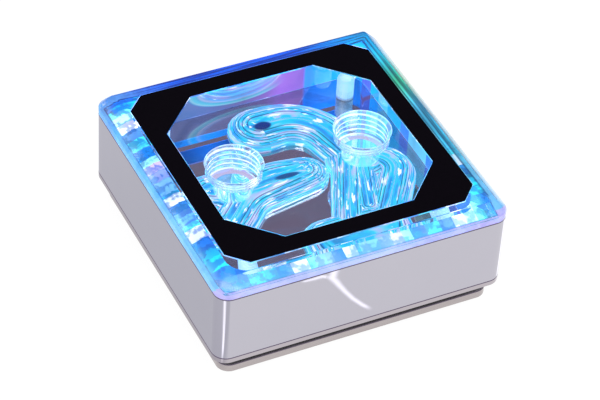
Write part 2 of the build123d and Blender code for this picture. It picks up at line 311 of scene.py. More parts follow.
all_walls = add_node(joints, "GeometryNodeInstanceOnPoints", {
    "Points": walls.outputs["Mesh"], "Instance": row.outputs[0], "Rotation": facing.outputs[0]})
real = add_node(joints, "GeometryNodeRealizeInstances", {0: all_walls.outputs[0]})
tinned = add_node(joints, "GeometryNodeSetMaterial", {"Geometry": real.outputs[0], "Material": solder})
add_node(joints, "NodeGroupOutput", {"Geometry": tinned.outputs[0]})
strip_solder = add_object("strip_solder", bpy.data.meshes.new("strip_solder"))
repeat = strip_solder.modifiers.new("solder_joints", "NODES")
repeat.node_group = joints
for identifier, value in joint_sizes.items():
    repeat[identifier] = value
apply_modifiers(strip_solder)
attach(strip_solder, "root")

# Clear top: cast acrylic, milled from below. Its outside is polished clear, the channels and blind holes
# keep the cutter's fine steps, and the ports have their thread cut straight into the plastic.
# Four screws from below pull its plug onto the middle plate and its rim onto the housing.
# The block's sizes are in millimetres, and its mesh is brought to metres at the end.
skin = 0.02
plug_half, rim_half = 29.0, 34.5
rim_low, rim_side_top, block_top, plug_low = 23.4, 25.2, 27.8, 7.8
port_x, port_y, port_steps = 15.6, 0.4, 60
thread_pitch, thread_crest, thread_root = 1.337, 5.75, 6.35
drop_radius, ledge_radius, ledge_low, ledge_high = 4.3, 5.5, 21.2, 21.7
channel_top, chamber_radius, chamber_steps = 13.0, 7.8, 64
cusp_shares = (0.0, 0.34, 0.46, 0.57, 0.66, 0.77, 0.88, 1.0)
rib_depth = 0.2
screw_reach, hole_steps = 23, 24
acrylic_index = 1.49
# Each face of the block carries the number of its finish, in the order of the materials given at the end.
outside, channel_wall, thread_wall, plug_wall, rim_floor, recess_wall, hole_wall, groove_wall = range(8)


def rounded_square(half, radius, level, steps=10):
    """One level of the block: a square with rounded corners."""
    ring = []
    for turn in range(4):
        middle = Matrix.Rotation(math.radians(90 * turn), 2) @ Vector((half - radius, half - radius))
        for step in range(steps + 1):
            angle = math.radians(90 * (turn + step / steps))
            ring.append((middle.x + radius * math.cos(angle), middle.y + radius * math.sin(angle), level))
    return ring


def stacked_solid(rings, finish, band_finish=None, rises=None):
    """Closed solid from rings of equally many points, from the lowest up, of one finish or one for each band.

    Its UV places run up by the given rises, or evenly from 0 to 1, and round the lowest ring in millimetres.
    """
    top = len(rings) - 1
    count = len(rings[0])
    band_finish = band_finish or [finish] * top
    rises = rises or [level / top for level in range(top + 1)]
    points = [point for ring in rings for point in ring]
    way = [0.0]
    for index in range(count):
        way.append(way[-1] + (Vector(rings[0][index]) - Vector(rings[0][(index + 1) % count])).length)
    faces, finishes, places = [], [], []
    for level in range(top):
        low, high = level * count, (level + 1) * count
        rise, next_rise = rises[level], rises[level + 1]
        for index in range(count):
            after = (index + 1) % count
            faces.append((low + index, low + after, high + after, high + index))
            finishes.append(band_finish[level])
            places += [(rise, way[index]), (rise, way[index + 1]),
                       (next_rise, way[index + 1]), (next_rise, way[index])]
    faces.append(tuple(reversed(range(count))))
    places += [(0.0, way[index]) for index in reversed(range(count))]
    faces.append(tuple(top * count + index for index in range(count)))
    places += [(1.0, way[index]) for index in range(count)]
    return points, faces, finishes + [finish, finish], places


def solid_mesh(name, solids):
    """One mesh of several closed solids, with their finishes and UV places."""
    points, faces, finishes, places = [], [], [], []
    for solid_points, solid_faces, solid_finishes, solid_places in solids:
        first = len(points)
        points += solid_points
        faces += [tuple(first + index for index in face) for face in solid_faces]
        finishes += solid_finishes
        places += solid_places
    mesh = bpy.data.meshes.new(name)
    mesh.from_pydata(points, [], faces)
    mesh.polygons.foreach_set("material_index", finishes)
    mesh.uv_layers.new(name="UVMap").data.foreach_set("uv", [part for place in places for part in place])
    return mesh


def line_runs(line):
    """Direction in which a line runs at each of its points."""
    last = len(line) - 1
    return [(line[min(index + 1, last)] - line[max(index - 1, 0)]).normalized() for index in range(last + 1)]


def stretch_outline(line, half_width, start_share, level, cap_steps=10):
    """Outline round a centre line with round ends, as many times wider at its start as the share says."""
    line = [Vector(point) for point in line]
    runs, way = line_runs(line), [0.0]
    for point, after in zip(line, line[1:]):
        way.append(way[-1] + (after - point).length)
    reaches = [half_width * (start_share + (1 - start_share) * past / way[-1]) for past in way]
    offsets = [reach * Vector((-run.y, run.x)) for run, reach in zip(runs, reaches)]
    left = [point + offset for point, offset in zip(line, offsets)]
    right = [point - offset for point, offset in zip(line, offsets)]
    caps = []
    for point, run, reach in ((line[-1], runs[-1], reaches[-1]), (line[0], -runs[0], reaches[0])):
        start = math.atan2(run.y, run.x) - math.pi / 2
        angles = [start + math.pi * step / cap_steps for step in range(1, cap_steps)]
        caps.append([point + reach * Vector((math.cos(angle), math.sin(angle))) for angle in angles])
    outline = right + caps[0] + left[::-1] + caps[1]
    return [(point.x, point.y, level) for point in outline]


def bend(start, corner, end, radius, steps=10):
    """Centre line of two runs with a round bend between them."""
    start, corner, end = Vector(start), Vector(corner), Vector(end)
    back, ahead = (start - corner).normalized(), (end - corner).normalized()
    half_angle = back.angle(ahead) / 2
    reach = radius / math.tan(half_angle)
    middle = corner + (back + ahead).normalized() * radius / math.sin(half_angle)
    first, last = corner + back * reach - middle, corner + ahead * reach - middle
    turn = first.angle_signed(last)
    arc = [middle + Matrix.Rotation(-turn * step / steps, 2) @ first for step in range(steps + 1)]
    return [start, *arc, end]


def rib_profile(half_width):
    """Shares, half widths and levels of a milled channel: a rounded wall, cut in steps that meet in cusps."""
    profile = [(0.0, half_width, plug_low - 1.0)]
    for low_share, high_share in zip(cusp_shares, cusp_shares[1:]):
        for part in range(5 if high_share == 1.0 else 4):
            share = low_share + (high_share - low_share) * part / 4
            angle = share * math.pi / 2
            swell = rib_depth * math.sin(math.pi * part / 4) * min(1.0, (high_share - low_share) * 8)
            width = half_width * math.cos(angle) ** 0.6 + swell * math.cos(angle)
            level = plug_low + (channel_top - plug_low) * math.sin(angle) ** 0.8 + swell * math.sin(angle)
            profile.append((share, max(width, 0.25), level))
    return profile


def bore_ring(centre, radii, level):
    """One level of a bore, with a radius for each of its points."""
    turns = [math.tau * step / len(radii) for step in range(len(radii))]
    return [(centre[0] + radius * math.cos(turn), centre[1] + radius * math.sin(turn), level)
            for turn, radius in zip(turns, radii)]


def thread_radius(level, turn_share):
    """Radius of a port's thread at a level and a share of a turn."""
    past_root = (level / thread_pitch - turn_share) % 1.0 - 0.5
    flank = max(0.0, 1.0 - abs(past_root) * 2.4)
    return thread_crest + (thread_root - thread_crest) * min(flank, 0.85)


# The channels' centre lines, half widths, and how many times wider each is at its start: the inlet's two
# cuts and the short one beside its port, one off the outlet port, the gallery, the link, the front, the arm.
channel_runs = (
    (bend((-15.6, 0.2), (-4.8, 1.8), (2.09, 0.75), 16.0), 5.4, 1.0),
    (bend((2.09, 0.75), (-13.2, -1.9), (-21.0, -9.5), 12.0), 5.4, 1.0),
    ([(-15.6, 0.4), (-19.8, 2.4)], 6.4, 1.0),
    ([(14.8, -2.0), (10.2, -15.0)], 3.2, 1.0),
    (bend((-1.0, 18.59), (10.99, 18.59), (14.21, 3.19), 10.5), 5.4, 1.28),
    ([(14.21, 3.19), (3.31, -19.89)], 4.0, 1.0),
    ([(12.01, -19.89), (-2.32, -19.89)], 5.4, 1.0),
    (bend((15.6, 0.4), (24.8, -1.6), (12.01, -19.89), 4.8), 4.4, 1.0))
channels = []
for line, half_width, start_share in channel_runs:
    profile = rib_profile(half_width)
    rings = [stretch_outline(line, width, start_share, level) for share, width, level in profile]
    channels.append(stacked_solid(rings, channel_wall, rises=[share for share, width, level in profile]))
for side_x in (-port_x, port_x):
    profile = rib_profile(chamber_radius)
    rings = [bore_ring((side_x, port_y), [width] * chamber_steps, level) for share, width, level in profile]
    channels.append(stacked_solid(rings, channel_wall, rises=[share for share, width, level in profile]))
turn_shares = [step / port_steps for step in range(port_steps)]
ledge_rows = ((drop_radius, 11.5), (drop_radius, ledge_low), (ledge_radius, ledge_low + 0.1),
              (ledge_radius, ledge_high))
thread_levels = [ledge_high + 0.11 * row for row in range(1, 47)]
mouth_rows = ((5.95, 26.95), (6.55, 27.55), (6.75, 28.5))
port_rows = [([radius] * port_steps, level) for radius, level in ledge_rows]
port_rows += [([thread_radius(level, share) for share in turn_shares], level) for level in thread_levels]
port_rows += [([radius] * port_steps, level) for radius, level in mouth_rows]
for side_x in (-port_x, port_x):
    rings = [bore_ring((side_x, port_y), radii, level) for radii, level in port_rows]
    channels.append(stacked_solid(rings, thread_wall))
cutters = [(solid_mesh("channel_cutter", channels), True)]

# Half width, corner radius and level of each ring of the block, from the plug's foot up to the top face.
block_levels = ((plug_half - 0.12, 3.88, plug_low + skin), (plug_half, 4.0, plug_low + skin + 0.12),
                (plug_half, 4.0, rim_low + skin), (rim_half - 0.15, 3.15, rim_low + skin),
                (rim_half, 3.3, rim_low + skin + 0.15), (rim_half, 3.3, rim_side_top - 0.08),
                (34.44, 3.24, rim_side_top + 0.06), (31.96, 0.76, block_top - 0.06), (31.82, 0.62, block_top))
block_bands = (outside, plug_wall, rim_floor, outside, outside, outside, outside, outside)
block_rings = [rounded_square(half, radius, level) for half, radius, level in block_levels]
block_mesh = solid_mesh("clear_block", [stacked_solid(block_rings, outside, band_finish=block_bands)])


def octagon_ring(half, cut, level):
    """One level of the cut-cornered frame."""
    near = half - cut
    return [(near, half, level), (-near, half, level), (-half, near, level), (-half, -near, level),
            (-near, -half, level), (near, -half, level), (half, -near, level), (half, near, level)]


def frame_mesh(name, outer, inner, low, high, finish):
    """Cut-cornered frame between two outlines and two levels."""
    rings = [octagon_ring(*outer, low), octagon_ring(*outer, high), octagon_ring(*inner, high),
             octagon_ring(*inner, low)]
    faces = []
    for number in range(4):
        ring, next_ring = number * 8, (number + 1) % 4 * 8
        for index in range(8):
            after = (index + 1) % 8
            faces.append((ring + index, ring + after, next_ring + after, next_ring + index))
    mesh = bpy.data.meshes.new(name)
    mesh.from_pydata([point for ring in rings for point in ring], [], faces)
    mesh.polygons.foreach_set("material_index", [finish] * len(faces))
    return mesh


cutters.append((frame_mesh("recess_cutter", (29.6, 4.2), (25.0, 9.8), 27.2 - skin, 28.2, recess_wall), False))
hole_rows = [(1.9 + 0.12 * (row % 2), 6.8 + 0.35 * row) for row in range(33)]
hole_rows += [(1.85, 18.6), (1.7, 19.1), (1.35, 19.5), (0.7, 19.8)]
holes = []
for centre in [(x, y) for x in (-screw_reach, screw_reach) for y in (-screw_reach, screw_reach)]:
    rings = [bore_ring(centre, [radius] * hole_steps, level) for radius, level in hole_rows]
    holes.append(stacked_solid(rings, hole_wall))
cutters.append((solid_mesh("hole_cutter", holes), False))
cutters.append((frame_mesh("seal_cutter", (28.3, 13.99), (26.9, 13.41), 6.8, 8.72, groove_wall), False))

clear, tree, shader, place, haze = mottled_material(
    "polished_acrylic", (0.92, 0.965, 1.0), (0.94, 0.975, 1.0), 300.0, 0.0)
feed(tree, shader, {
    "Roughness": add_math(tree, "MULTIPLY", haze, 0.02), "Transmission Weight": 1.0, "IOR": acrylic_index})


def frosted_acrylic(name, body, rough, clearness, low, high, whiten):
    """Clear plastic with a cutter's or grinder's finish, with the strip's light painted on it as a glow."""
    material, tree, shader, place, hue, glow = painted_glow_material(name, body, rough, low, high, whiten, 1.5)
    feed(tree, shader, {"Transmission Weight": clearness, "IOR": acrylic_index})
    return material, tree, shader, place, hue, glow


def facet_patches(tree, along, width, seed, hues):
    """Painted patches of light of unlike widths along a wall, each of one hue of the list, as cut plastic
    splits light.
    """
    shifted = add_math(tree, "MULTIPLY_ADD", along, 1.0 / width, seed)
    cells = add_node(tree, "ShaderNodeTexVoronoi", {"W": shifted, "Scale": 1.0}, voronoi_dimensions="1D")
    pick = add_node(tree, "ShaderNodeSeparateColor", {0: cells.outputs["Color"]})
    return spread_hues(tree, pick.outputs["Red"], hues, "CONSTANT")


def ramp_between(tree, value, low, high, low_result=0.0, high_result=1.0):
    """A value carried from one range to another, with soft ends."""
    inputs = {"Value": value, "From Min": low, "From Max": high, "To Min": low_result, "To Max": high_result}
    return add_node(tree, "ShaderNodeMapRange", inputs, interpolation_type="SMOOTHSTEP").outputs["Result"]


def unrolled_wall(tree):
    """UV places of a cut wall, whole and in parts: X is the share up it, and Y the millimetres along it."""
    unrolled = add_node(tree, "ShaderNodeUVMap", {}, uv_map="UVMap").outputs[0]
    return unrolled, split_axes(tree, unrolled)


# The channel walls carry painted light: a cyan glow in streaks drawn out along the cutter's path, which dims
# to dark lines in the cusps between its steps, painted white and pink glints, and a painted dark spot over
# each hole in the plate below.
milled, tree, shader, place = new_material("milled_channel_painted_glow")
unrolled, wall = unrolled_wall(tree)
glow_streaks = drawn_noise(tree, unrolled, (8.0, 0.11, 1.0))
streak_hue = spread_hues(tree, glow_streaks, (
    (0.34, (0.0, 0.06, 0.42)), (0.41, (0.0, 0.36, 0.85)), (0.46, (0.0, 0.66, 0.88)),
    (0.52, (0.0, 0.82, 0.90)), (0.55, (0.36, 0.90, 1.0)), (0.575, (0.74, 0.68, 1.0)),
    (0.61, (1.0, 0.55, 0.96)), (0.68, (1.0, 0.96, 1.0))))
band_hue = spread_hues(tree, wall["X"], (
    (0.0, (0.04, 0.44, 0.85)), (0.18, (0.06, 0.72, 0.92)), (0.33, (0.66, 0.90, 1.0)),
    (0.38, (0.0, 0.30, 0.76)), (0.50, (0.0, 0.68, 0.85)), (0.60, (0.66, 0.50, 0.95)),
    (0.68, (0.0, 0.52, 0.84)), (0.83, (0.12, 0.86, 0.92)), (1.0, (0.0, 0.48, 0.84))))
hue = add_mix(tree, 0.68, band_hue, streak_hue)
painted_glints = ramp_between(tree, drawn_noise(tree, unrolled, (12.0, 0.22, 1.0), 3.0), 0.585, 0.66)
painted_glints = add_math(tree, "MULTIPLY", painted_glints, ramp_between(tree, wall["X"], 0.24, 0.36))
cusp_width = 0.024
cusp_stops = [(0.0, (1, 1, 1))]
for share in cusp_shares[1:-1]:
    cusp_stops += [(share - cusp_width, (1, 1, 1)), (share, (0, 0, 0)), (share + cusp_width, (1, 1, 1))]
clear_of_cusp = spread_hues(tree, wall["X"], cusp_stops + [(1.0, (1, 1, 1))])
broken = ramp_between(tree, drawn_noise(tree, unrolled, (5.0, 0.2, 1.0)), 0.50, 0.62)
whole = add_math(tree, "MAXIMUM", clear_of_cusp, add_math(tree, "MULTIPLY", broken, 0.7))
hole_shades = []
for spot, half_sizes, least in (((-0.0005, 0.0176), (0.0021, 0.0014), 0.0),
                                ((-0.0026, 0.0001), (0.0030, 0.0008), 0.3)):
    centred = add_node(tree, "ShaderNodeVectorMath", {0: place, 1: (*spot, 0)}, operation="SUBTRACT")
    turned = add_node(tree, "ShaderNodeMapping", {
        "Vector": centred.outputs[0], "Rotation": (0, 0, math.radians(12)),
        "Scale": (1 / half_sizes[0], 1 / half_sizes[1], 0)})
    reach = add_node(tree, "ShaderNodeVectorMath", {0: turned.outputs[0]}, operation="LENGTH")
    hole_shades.append(ramp_between(tree, reach.outputs["Value"], 0.75, 1.15, least, 1.0))
hole_shade = add_math(tree, "MINIMUM", *hole_shades)
whole = add_math(tree, "MULTIPLY", whole, hole_shade)
lined = add_math(tree, "MULTIPLY_ADD", whole, 0.60, 0.07)
level = add_math(tree, "MULTIPLY_ADD", painted_glints, 0.45, lined)
open_level = add_math(tree, "MULTIPLY_ADD", hole_shade, 0.97, 0.03)
body = add_mix(tree, glow_streaks, (0.01, 0.14, 0.40), (0.04, 0.50, 0.80))
shade = add_mix(tree, hole_shade, (0.004, 0.05, 0.22), (0.0, 0.015, 0.08))
feed(tree, shader, {
    "Base Color": add_mix(tree, whole, shade, body),
    "Emission Color": add_mix(tree, painted_glints, hue, (0.93, 0.90, 1.0)),
    "Emission Strength": add_math(tree, "MULTIPLY", level, open_level),
    "Transmission Weight": add_math(tree, "MULTIPLY", whole, 0.38),
    "Roughness": 0.08, "IOR": acrylic_index})

# The ports' threads are left as cut, and their light is painted: each crest has a painted bright line in the
# clear wall, more so on the far side, the ledge under the thread a painted lilac ring of glow, and the mouth
# and the drop below the thread a painted glow.
threaded, tree, shader, place = new_material("cut_thread_painted_highlights")
unrolled, wall = unrolled_wall(tree)
axes = split_axes(tree, place)
turn = add_math(tree, "MULTIPLY", wall["Y"], 1 / (math.tau * drop_radius))
climb = add_math(tree, "SUBTRACT", add_math(tree, "MULTIPLY", axes["Z"], 1000 / thread_pitch), turn)
crest = add_math(tree, "COSINE", add_math(tree, "MULTIPLY", climb, math.tau))
on_thread = add_math(tree, "GREATER_THAN", axes["Z"], ledge_high / 1000)
ring = add_math(tree, "MULTIPLY", ramp_between(tree, crest, 0.45, 1.0), on_thread)
off_axis = add_math(tree, "SUBTRACT", add_math(tree, "ABSOLUTE", axes["X"]), port_x / 1000)
off_axis = add_math(tree, "MULTIPLY", off_axis, add_math(tree, "SIGN", axes["X"]))
off_middle = add_math(tree, "SUBTRACT", axes["Y"], port_y / 1000)
lean = add_math(tree, "ADD", add_math(tree, "MULTIPLY", off_axis, 0.47),
                add_math(tree, "MULTIPLY", off_middle, 0.88))
ring = add_math(tree, "MULTIPLY", ring, ramp_between(tree, lean, -0.003, 0.002, 0.18, 1.0))
sheen = drawn_noise(tree, unrolled, (3.0, 0.12, 1.0))
thread_hue = spread_hues(tree, sheen, (
    (0.35, (0.42, 0.80, 1.0)), (0.5, (0.90, 0.93, 1.0)), (0.60, (0.98, 0.80, 1.0)),
    (0.70, (1.0, 0.60, 0.95))))
low_hue = spread_hues(tree, sheen, (
    (0.35, (0.08, 0.42, 0.9)), (0.5, (0.20, 0.68, 0.92)), (0.62, (0.62, 0.85, 1.0)),
    (0.72, (0.80, 0.6, 1.0))))
port_hue = add_mix(tree, on_thread, low_hue, thread_hue)
on_ledge = is_between(tree, axes["Z"], ledge_low / 1000, ledge_high / 1000)
at_mouth = ramp_between(tree, axes["Z"], 0.02735, 0.02775, 0.0, 0.5)
below_thread = ramp_between(tree, axes["Z"], (ledge_low + 0.1) / 1000, (ledge_low - 0.3) / 1000, 0.0, 0.3)
ring_glow = add_math(tree, "MULTIPLY_ADD", ring, 0.75, 0.12)
ledge_glow = add_math(tree, "MULTIPLY_ADD", on_ledge, 0.35, ring_glow)
feed(tree, shader, {
    "Base Color": add_mix(tree, sheen, (0.80, 0.93, 1.0), (0.93, 0.96, 1.0)),
    "Emission Color": add_mix(tree, on_ledge, port_hue, (0.74, 0.64, 1.0)),
    "Emission Strength": add_math(tree, "ADD", ledge_glow, add_math(tree, "ADD", at_mouth, below_thread)),
    "Transmission Weight": 0.95, "Roughness": 0.04, "IOR": acrylic_index})

# The blind holes are frosted by the drill, with the strip's glow painted on them, fading to dark towards
# their foot. The recess is cut finer, and its wall has the strip's glow painted on, with a painted azure bar
# of light along the back.
blind, tree, shader, place, hue, glow = frosted_acrylic(
    "blind_hole", (0.86, 0.92, 0.98), 0.4, 0.2, 0.5, 0.66, 0.9)
foot = ramp_between(tree, split_axes(tree, place)["Z"], 0.0084, 0.0094, 0.12, 1.0)
feed(tree, shader, {"Emission Strength": add_math(tree, "MULTIPLY", glow, foot)})
recess_side, tree, shader, place, hue, glow = frosted_acrylic(
    "recess_wall", (0.9, 0.95, 1.0), 0.1, 1.0, 0.3, 0.6, 0.5)
lit_bar = ramp_between(tree, split_axes(tree, place)["Y"], 0.0246, 0.0250)
feed(tree, shader, {"Emission Color": add_mix(tree, lit_bar, hue, (0.0, 0.55, 2.6))})

# The plug's walls are polished, and the lamps behind each are painted on it as glowing patches of one colour.
# The back one's painted glow runs from violet to azure, with a painted azure band near its top and the
# round swirl of a port's reflection painted in its middle.
plug_side, tree, shader, place = mottled_material(
    "plug_wall", (0.02, 0.02, 0.06), (0.05, 0.04, 0.12), 90.0, 0.02)[:4]
axes = split_axes(tree, place)
wall_share = add_math(tree, "MULTIPLY_ADD", axes["X"], 500 / plug_half, 0.5)
back_hue = spread_hues(tree, wall_share, (
    (0.0, (0.02, 0.20, 0.60)), (0.25, (0.03, 0.15, 0.46)), (0.45, (0.07, 0.11, 0.36)),
    (0.60, (0.20, 0.09, 0.52)), (0.66, (0.32, 0.11, 0.76)), (0.760, (0.28, 0.12, 0.80)),
    (0.770, (0.0, 0.42, 2.2)), (0.93, (0.0, 0.50, 2.1)), (1.0, (0.0, 0.26, 1.0))))
top_band = ramp_between(tree, axes["Z"], 0.0192, 0.0200)
band_share = add_math(tree, "MULTIPLY", top_band, ramp_between(tree, axes["X"], 0.009, 0.004))
back_hue = add_mix(tree, band_share, back_hue, (0.01, 0.42, 1.3))
swirl_across = add_math(tree, "MULTIPLY", add_math(tree, "ADD", axes["X"], 0.001), 1 / 0.013)
swirl_up = add_math(tree, "MULTIPLY", add_math(tree, "SUBTRACT", axes["Z"], 0.020), 1 / 0.0102)
swirl_squares = [add_math(tree, "MULTIPLY", part, part) for part in (swirl_across, swirl_up)]
swirl_reach = add_math(tree, "SQRT", add_math(tree, "ADD", *swirl_squares))
swirl_hue = spread_hues(tree, swirl_reach, (
    (0.62, (0.16, 0.20, 0.62)), (0.72, (0.10, 0.42, 0.95)), (0.79, (0.45, 0.66, 1.0)),
    (0.84, (0.0, 0.62, 0.90)), (0.91, (0.02, 0.84, 0.98)), (0.96, (0.30, 0.88, 1.0)),
    (1.0, (0.0, 0.40, 0.80))))
swirl = add_math(tree, "MULTIPLY", ramp_between(tree, swirl_reach, 1.03, 0.98),
                 ramp_between(tree, swirl_reach, 0.60, 0.74))
swirl = add_math(tree, "MULTIPLY", swirl, ramp_between(tree, axes["X"], 0.011, 0.004, 0.0, 0.55))
back_hue = add_mix(tree, swirl, back_hue, swirl_hue)
side_hue = facet_patches(tree, axes["Y"], 0.0045, 3.3, (
    (0.0, (0.0, 0.25, 1.2)), (0.28, (0.25, 0.10, 0.85)), (0.45, (0.0, 0.45, 1.2)),
    (0.62, (0.10, 0.06, 0.45)), (0.78, (0.10, 0.65, 1.1)), (0.94, (0.65, 0.35, 1.0))))
on_side = add_math(tree, "GREATER_THAN", add_math(tree, "ABSOLUTE", axes["X"]), (plug_half - 0.1) / 1000)
feed(tree, shader, {
    "Emission Color": add_mix(tree, on_side, back_hue, side_hue),
    "Emission Strength": add_math(tree, "MULTIPLY_ADD", lamp_beat(tree, place, 0.3), 0.3, 0.7),
    "Transmission Weight": ramp_between(tree, wall_share, 0.762, 0.772, 0.75, 0.35),
    "IOR": acrylic_index})

# The rim's underside is left as cut, and its light is painted: over the gap a glow of the lamps in patches
# and sparkle, and where it lies on the housing only a pale glowing band, with a painted dark line at the
# step between the two.
underside, tree, shader, place = new_material("rim_underside")
axes = split_axes(tree, place)
along, across = along_and_across(tree, place)
beat = lamp_beat(tree, place, 1.5)
hue = light_hue(tree, place)
blocks = facet_patches(tree, along, 0.0029, 7.7, (
    (0.0, (0.0, 0.18, 0.75)), (0.16, (0.0, 0.80, 0.85)), (0.32, (0.50, 1.3, 1.3)),
    (0.44, (0.01, 0.08, 0.28)), (0.56, (0.0, 0.50, 0.58)), (0.66, (0.80, 0.46, 1.1)),
    (0.74, (0.0, 1.2, 0.98)), (0.85, (1.6, 1.6, 1.6))))
wide_blocks = facet_patches(tree, along, 0.0056, 2.1, (
    (0.0, (0.0, 0.08, 0.40)), (0.25, (0.0, 0.80, 0.80)), (0.5, (0.60, 1.1, 1.1)),
    (0.74, (0.20, 0.30, 0.90)), (0.88, (1.3, 0.80, 1.2))))
blocks = add_mix(tree, 0.2, blocks, wide_blocks)
lean = add_math(tree, "ADD", axes["Y"], add_math(tree, "MULTIPLY", axes["X"], 0.8))
front_share = ramp_between(tree, lean, 0.022, 0.002)
gap_hue = add_mix(tree, add_math(tree, "MULTIPLY", front_share, 0.97), hue, blocks)
beside_plug = add_math(tree, "MULTIPLY", ramp_between(tree, across, 0.0309, 0.0304),
                       ramp_between(tree, axes["Y"], 0.0285, 0.0290))
gap_hue = add_mix(tree, beside_plug, gap_hue, (0.0, 0.60, 2.0))
on_seat = add_math(tree, "GREATER_THAN", across, 0.032)
on_front = add_math(tree, "LESS_THAN", axes["Y"], -0.0305)
seat_share = add_math(tree, "MULTIPLY", front_share, add_math(tree, "MULTIPLY_ADD", on_front, 0.25, 0.55))
seat_tone = add_mix(tree, on_front, (0.36, 0.80, 0.92), (0.86, 0.50, 0.84))
seat_hue = add_mix(tree, seat_share, hue, seat_tone)
lines_across = add_node(tree, "ShaderNodeCombineXYZ", {
    "X": add_math(tree, "MULTIPLY", across, 1500.0), "Y": add_math(tree, "MULTIPLY", along, 45.0)})
line_level = ramp_between(tree, add_noise(tree, lines_across.outputs[0], 1.0, 1.0), 0.40, 0.58, 0.12, 1.55)
sparkle_level = ramp_between(tree, add_noise(tree, place, 430.0), 0.44, 0.56, 0.45, 1.5)
texture_level = blend_values(tree, front_share, line_level, sparkle_level)
gap_glow = add_math(tree, "MULTIPLY_ADD", beat, 0.40, 0.48)
glow = blend_values(tree, on_seat, gap_glow, 0.66)
textured = add_math(tree, "MULTIPLY", glow, texture_level)
seat_soft = add_math(tree, "MULTIPLY", on_seat, ramp_between(tree, front_share, 0.0, 1.0, 0.15, 0.85))
level = blend_values(tree, seat_soft, textured, glow)
step_reach = add_math(tree, "ABSOLUTE", add_math(tree, "SUBTRACT", across, 0.0319))
step_line = ramp_between(tree, step_reach, 0.00006, 0.00028, 0.2, 1.0)
feed(tree, shader, {
    "Base Color": add_mix(tree, 0.5, hue, (0.0, 0.0, 0.05)),
    "Emission Color": add_mix(tree, on_seat, gap_hue, seat_hue),
    "Emission Strength": add_math(tree, "MULTIPLY", level, step_line),
    "Transmission Weight": ramp_between(tree, on_seat, 0.0, 1.0, 0.4, 0.12),
    "Roughness": 0.12, "IOR": acrylic_index})

# The seal's groove is filled by silicone of nearly the plastic's own index, so its walls hardly bend light.
filled, tree, shader, place, hue, glow = frosted_acrylic(
    "filled_groove", (0.93, 0.97, 1.0), 0.0, 1.0, 0.0, 0.01, 0.1)
feed(tree, shader, {"IOR": 1.0})


def tidy_mesh(mesh, *steps):
    """Runs BMesh steps on a mesh, each a function that takes the open mesh."""
    opened = bmesh.new()
    opened.from_mesh(mesh)
    for step in steps:
        step(opened)
    opened.to_mesh(mesh)
    opened.free()


# Points of the block nearer to each other than this are one.
weld = 0.0005
finishes = (clear, milled, threaded, plug_side, underside, recess_side, blind, filled)
clear_block = add_object("clear_block", block_mesh)
for finish in finishes:
    block_mesh.materials.append(finish)
cutter_objects = []
for cutter_mesh, overlapping in cutters:
    tidy_mesh(cutter_mesh, lambda opened: bmesh.ops.recalc_face_normals(opened, faces=opened.faces))
    for finish in finishes:
        cutter_mesh.materials.append(finish)
    cutter_objects.append(add_object(cutter_mesh.name, cutter_mesh))
    cut = clear_block.modifiers.new(cutter_mesh.name, "BOOLEAN")
    cut.operation = "DIFFERENCE"
    cut.solver = "EXACT"
    cut.use_self = overlapping
    cut.material_mode = "INDEX"
    cut.object = cutter_objects[-1]
apply_modifiers(clear_block)
for cutter in cutter_objects:
    bpy.data.objects.remove(cutter)
block_mesh = clear_block.data
tidy_mesh(
    block_mesh,
    lambda opened: bmesh.ops.remove_doubles(opened, verts=opened.verts, dist=weld),
    lambda opened: bmesh.ops.dissolve_degenerate(opened, edges=opened.edges, dist=weld),
    lambda opened: bmesh.ops.triangulate(
        opened, faces=[face for face in opened.faces if len(face.verts) > 4]))
block_mesh.transform(Matrix.Scale(0.001, 4))
block_mesh.polygons.foreach_set("use_smooth", [True] * len(block_mesh.polygons))
block_mesh.set_sharp_from_angle(angle=math.radians(32))
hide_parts("clear_top")
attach(clear_block, "root")

# Seal between the clear top and the middle plate: clear silicone cord in its groove round the channels.
# Pressed flat by the screws, it wets the plastic and hardly shows, with an index so near the acrylic's.
silicone, tree, shader = mottled_material(
    "milky_silicone", (0.9, 0.94, 0.98), (0.95, 0.98, 1.0), 500.0, 0.0)[:3]
feed(tree, shader, {"Transmission Weight": 1.0, "IOR": 1.0})
seal_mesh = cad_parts["channel_seal"].data.copy()
seal_mesh.name = "pressed_seal"
for corner in seal_mesh.vertices:
    corner.co.z = max(corner.co.z, (plug_low + skin) / 1000)
seal_mesh.materials.clear()
seal_mesh.materials.append(silicone)
pressed_seal = add_object("pressed_seal", seal_mesh)
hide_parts("channel_seal")
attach(pressed_seal, "root")

# Black inlay: satin black sheet, cut to a frame with cut corners and let into the clear top.
# Its face is plain and slightly grained, and it lies flush with the polished top.
sheet, tree, shader, place, grain = mottled_material(
    "satin_black_sheet", (0.0012, 0.0009, 0.0016), (0.0028, 0.002, 0.0036), 2500.0, 0.5, 4.0)
feed(tree, shader, {"Specular IOR Level": 0.03, "Normal": fine_relief(tree, grain, 0.15)})
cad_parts["black_inlay"].data.materials[0] = sheet

# Clamping screws: stainless, countersunk, with a hexagon socket, turned in from below.
# Their bright heads lie a little below the cold plate's face.
screw_steel = ground_metal("bright_stainless", (0.60, 0.60, 0.61), (0.45, 0.45, 0.46), 0.22, 0.3)[0]
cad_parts["clamp_screws"].data.materials[0] = screw_steel

# Floor: a white table top in a small product studio, with the soft shadow of the block.
# Its reflection in the polished metal is painted a little dimmer and bluer towards the left.
floor_half = 3


def mix_surface(tree, share, first, second):
    """Gives a material a surface between two shaders."""
    blend = add_node(tree, "ShaderNodeMixShader", {0: share, 1: first.outputs[0], 2: second.outputs[0]})
    feed(tree, tree.nodes["Material Output"], {"Surface": blend.outputs[0]})


